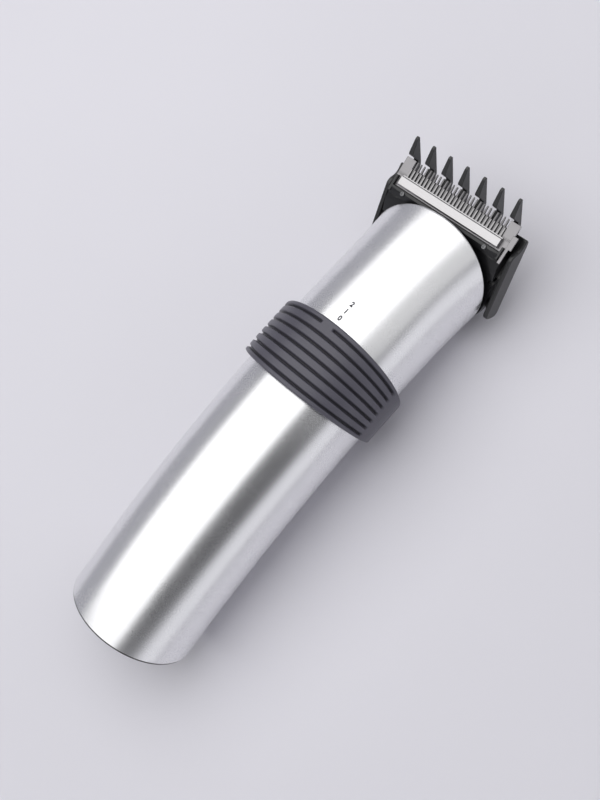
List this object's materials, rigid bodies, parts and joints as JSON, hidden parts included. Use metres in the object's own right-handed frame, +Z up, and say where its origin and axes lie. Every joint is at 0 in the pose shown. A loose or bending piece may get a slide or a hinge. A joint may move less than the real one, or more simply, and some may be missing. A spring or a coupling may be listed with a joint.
{
  "type": "hair clipper",
  "caption": "Cordless hair clipper with an arched oval body, a sliding ribbed switch ring, a slanted blade head and a pronged guide comb.",
  "frame": {"origin": "middle of the outline's base, on the surface that the clipper lies on", "axes": "+Y along the body from the tail to the blades, +Z up through the side with the switch marks, +X to the right seen from the tail"},
  "size_m": [0.0474, 0.166, 0.0386],
  "materials": {
    "silver_shell": "satin metallic silver",
    "black_plastic": "semi-matt black",
    "comb_plastic": "semi-matt dark grey",
    "cap_plastic": "matt dark grey",
    "ring_rubber": "soft satin",
    "inner_plastic": "matt grey",
    "mark_ink": "matt",
    "blade_steel": "ground",
    "cutter_steel": "ground",
    "screw_steel": "bright",
    "contact_metal": "bright nickel",
    "battery_wrap": "gloss shrink sleeve",
    "board_green": "solder mask",
    "chip_black": "matt",
    "motor_steel": "zinc plated",
    "magnet_dark": "sintered",
    "winding_copper": "enamelled copper",
    "bush_brass": "sintered",
    "lead_rubber": "flexible sleeve",
    "light_window": "clear"
  },
  "bodies": {
    "body": {"lower_barrel": "silver_shell", "upper_barrel": "silver_shell", "position_marks": "mark_ink", "chassis_tray": "inner_plastic", "chassis_cover": "inner_plastic", "tail_cap": "cap_plastic", "charging_socket": "black_plastic", "socket_contacts": "contact_metal", "charge_light": "light_window", "cap_screws": "screw_steel", "screw_bosses": "inner_plastic", "battery_cells": "battery_wrap", "battery_terminals": "contact_metal", "battery_strips": "contact_metal", "circuit_board": "board_green", "board_parts": "chip_black", "board_screws": "screw_steel", "slide_switch": "black_plastic", "motor_can": "motor_steel", "motor_bush": "bush_brass", "motor_end_cap": "inner_plastic", "motor_terminals": "contact_metal", "motor_magnets": "magnet_dark", "motor_mount": "inner_plastic", "motor_screws": "screw_steel", "charge_leads": "lead_rubber", "motor_leads": "lead_rubber", "head_frame": "black_plastic", "hinge_pin": "screw_steel"},
    "ring": {"grip_ring": "ring_rubber", "ring_carrier": "inner_plastic", "switch_link": "inner_plastic", "switch_knob": "black_plastic"},
    "rotor": {"motor_rotor": "motor_steel", "motor_commutator": "winding_copper", "motor_shaft": "screw_steel", "eccentric_cam": "black_plastic", "eccentric_pin": "screw_steel"},
    "blade_block": {"blade_holder": "black_plastic", "fixed_blade": "blade_steel", "cutter_retainer": "black_plastic", "blade_screws": "screw_steel", "tension_spring": "screw_steel", "side_clip": "blade_steel"},
    "cutter": {"moving_cutter": "cutter_steel", "drive_fork": "black_plastic"},
    "comb": {"guide_comb": "comb_plastic"}
  },
  "joints": [
    {"name": "ring_slide", "type": "slide", "parent": "body", "child": "ring", "axis": [0, 0.9966, -0.0825], "range_m": [0, 0.00496]},
    {"name": "shaft_spin", "type": "hinge", "parent": "body", "child": "rotor", "pos_m": [0, 0.03908, 0.0174], "axis": [0, 1, 0], "continuous": true},
    {"name": "block_open", "type": "hinge", "parent": "body", "child": "blade_block", "pos_m": [0, 0.05198, 0.00243], "axis": [-1, 0, 0], "range_deg": [0, 35]},
    {"name": "cutter_slide", "type": "slide", "parent": "blade_block", "child": "cutter", "axis": [1, 0, 0], "range_m": [-0.0012, 0.0012]},
    {"name": "comb_slide", "type": "slide", "parent": "blade_block", "child": "comb", "axis": [0, 0.9483, 0.3173], "range_m": [0, 0.014]}
  ]
}
